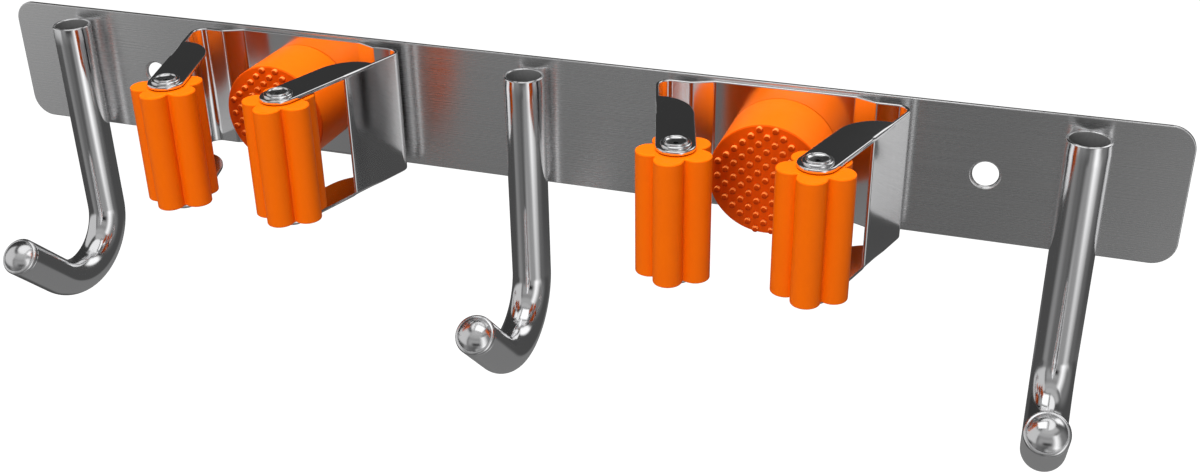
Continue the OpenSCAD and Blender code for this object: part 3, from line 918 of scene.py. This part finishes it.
# A card's name; azimuth to the right of the front, half width, soft edge; elevation, half height,
# soft edge; light. All angles are in degrees.
CARDS = (
    ("floor", 0, 180, 14, -86, 26, 14, 0.20),
    ("left wing", -39, 16, 12, -19, 13, 8, 0.24),
    ("low left wing", -50, 14, 18, -34, 5, 8, 0.28),
    ("low front right", 36, 30, 19, -33, 7, 19, 0.66),
    ("front right", 32, 17, 11, -22, 13, 5, 0.31),
    ("front", -19, 14, 24, -31, 28, 11, 0.14),
    ("front haze", 1, 33, 21, 7, 17, 23, 0.35),
    ("front gap", 9, 18, 17, -3, 6, 10, 0.01),
    ("upper front", 0, 45, 16, 34, 9, 16, 0.40),
    ("high front", 24, 61, 20, 50, 10, 14, 0.47),
    ("left light", -71, 33, 4, 15, 29, 8, 0.60),
    ("strip light", 57, 20, 22, 4, 28, 6, 1.10),
    ("strip light's low end", 59, 16, 12, -21, 4, 25, 1.30),
    ("strip light's right side", 62, 16, 12, 2, 10, 14, 1.10),
    ("right gap", 80, 20, 29, 5, 31, 30, 0.20),
    ("back", -141, 35, 5, 24, 31, 11, 0.04),
    ("back right", 144, 23, 14, 39, 14, 12, 1.20),
    ("floor behind", 149, 70, 16, -60, 29, 6, 0.20),
    ("roof", 0, 180, 13, 79, 19, 6, 0.96),
)


def soft_edge(distance, width):
    """1 well inside an edge and 0 well outside, along a smooth S of that width."""
    t = np.clip(0.5 - distance / width, 0, 1)
    return t * t * (3 - 2 * t)


def tent_light(azimuth, elevation):
    """The wall's light, and then card by card: the light at a direction moves towards the card's
    light by how far inside the card the direction is."""
    light = np.full(np.shape(azimuth), WALL_LIGHT)
    for _, middle, half_wide, side_soft, height, half_high, top_soft, level in CARDS:
        sideways = np.abs((azimuth - middle + 180) % 360 - 180) - half_wide
        share = soft_edge(sideways, side_soft) if half_wide < 180 else 1.0
        share = share * soft_edge(np.abs(elevation - height) - half_high, top_soft)
        light = light * (1 - share) + level * share
    return light


def build_tent(columns=240, rows=120):
    """A ball of points by azimuth and elevation, its light kept on its points."""
    heights, turns = np.linspace(-89.9, 89.9, rows), np.arange(columns) * 360 / columns - 180
    elevation, azimuth = np.meshgrid(heights, turns, indexing="ij")
    a, e = np.radians(azimuth), np.radians(elevation)
    points = np.stack([np.sin(a) * np.cos(e), -np.cos(a) * np.cos(e), np.sin(e)], axis=-1)
    points = points.reshape(-1, 3) * TENT_R / MM
    tent = make_piece("tent", points, ring_faces(0, rows, columns))
    keep_value(tent, "light", tent_light(azimuth, elevation).ravel())
    return tent


def build_softbox(low, high, height, level, count=30):
    """A level card over the rack, in millimetres. Its light fades over the outer fifth."""
    u, v = np.meshgrid(np.linspace(0, 1, count), np.linspace(0, 1, count))
    x, y = low[0] + (high[0] - low[0]) * u, low[1] + (high[1] - low[1]) * v
    points = np.stack([x, y, np.full_like(x, height)], axis=-1).reshape(-1, 3)
    index = np.arange(count * count).reshape(count, count)
    faces = np.stack([index[:-1, :-1], index[1:, :-1], index[1:, 1:], index[:-1, 1:]], axis=-1)
    card = make_piece("near_softbox", points, faces.reshape(-1, 4).tolist())
    edge = 0.1 - np.minimum(np.minimum(u, 1 - u), np.minimum(v, 1 - v))
    keep_value(card, "light", (level * soft_edge(edge, 0.2)).ravel())
    return card


tent = build_tent()
softbox = build_softbox((-60, -150), (150, 20), 170, 1.3)
tent_cloth = bpy.data.materials.new("tent_cloth")
tent_cloth.use_nodes = True
nodes, links = tent_cloth.node_tree.nodes, tent_cloth.node_tree.links
nodes.remove(nodes["Principled BSDF"])
glow, level = nodes.new("ShaderNodeEmission"), nodes.new("ShaderNodeAttribute")
level.attribute_name = "light"
links.new(level.outputs["Fac"], glow.inputs["Strength"])
links.new(glow.outputs["Emission"], nodes["Material Output"].inputs["Surface"])
for cloth in (tent, softbox):
    cloth.data.materials.append(tent_cloth)
    for kind in ("camera", "diffuse", "transmission", "volume_scatter", "shadow"):
        setattr(cloth, "visible_" + kind, False)

# %% White room and floor
ROOM_LIGHT = 0.42
FLOOR_Z, FLOOR_GLOW = -3.1, 0.75


def to_the_eye(nodes, links):
    """1 for what the camera sees straight, in a mirror or through glass, and 0 for the light that
    falls on things."""
    path = nodes.new("ShaderNodeLightPath")
    total = path.outputs["Is Camera Ray"]
    for name in ("Is Glossy Ray", "Is Transmission Ray"):
        node = nodes.new("ShaderNodeMath")
        node.operation = "MAXIMUM"
        links.new(total, node.inputs[0])
        links.new(path.outputs[name], node.inputs[1])
        total = node.outputs["Value"]
    return total


world = bpy.data.worlds.new("white_room")
bpy.context.scene.world = world
world.use_nodes = True
nodes, links = world.node_tree.nodes, world.node_tree.links
seen, lit = nodes["Background"], nodes.new("ShaderNodeBackground")
seen.inputs["Color"].default_value = lit.inputs["Color"].default_value = (1, 1, 1, 1)
seen.inputs["Strength"].default_value, lit.inputs["Strength"].default_value = 1.0, ROOM_LIGHT
either = nodes.new("ShaderNodeMixShader")
links.new(to_the_eye(nodes, links), either.inputs["Fac"])
links.new(lit.outputs["Background"], either.inputs[1])
links.new(seen.outputs["Background"], either.inputs[2])
links.new(either.outputs["Shader"], nodes["World Output"].inputs["Surface"])

corners = [(x / MM, y / MM, FLOOR_Z / MM) for x, y in ((-30, -30), (30, -30), (30, 30), (-30, 30))]
floor = make_piece("floor", corners, [[0, 1, 2, 3]])
paint = Finish("floor_paint", (0.8, 0.8, 0.8), 0.0, 1.0)
paint.shader.inputs["Specular IOR Level"].default_value = 0.0
paint.shader.inputs["Emission Color"].default_value = (1, 1, 1, 1)
lift = paint.nodes.new("ShaderNodeMath")
lift.operation = "MULTIPLY"
lift.inputs[1].default_value = FLOOR_GLOW
paint.links.new(to_the_eye(paint.nodes, paint.links), lift.inputs[0])
paint.wire("Emission Strength", lift.outputs["Value"])
floor.data.materials.append(paint.material)

# %% Lamps
def soft_lamp(name, place, size, power):
    """A square lamp that faces the rack. Reflections don't show it, because the tent has its own
    cards."""
    data = bpy.data.lights.new(name, "AREA")
    data.shape, data.size, data.energy = "SQUARE", size, power
    lamp = bpy.data.objects.new(name, data)
    bpy.context.scene.collection.objects.link(lamp)
    lamp.location = place
    lamp.rotation_euler = (-Vector(place)).to_track_quat("-Z", "Y").to_euler()
    lamp.visible_glossy = False
    return lamp


soft_lamp("roof_lamp", (0.0, -0.12, 1.3), 0.6, 26.0)
soft_lamp("front_lamp", (0.0, -1.35, 0.35), 0.6, 8.5)
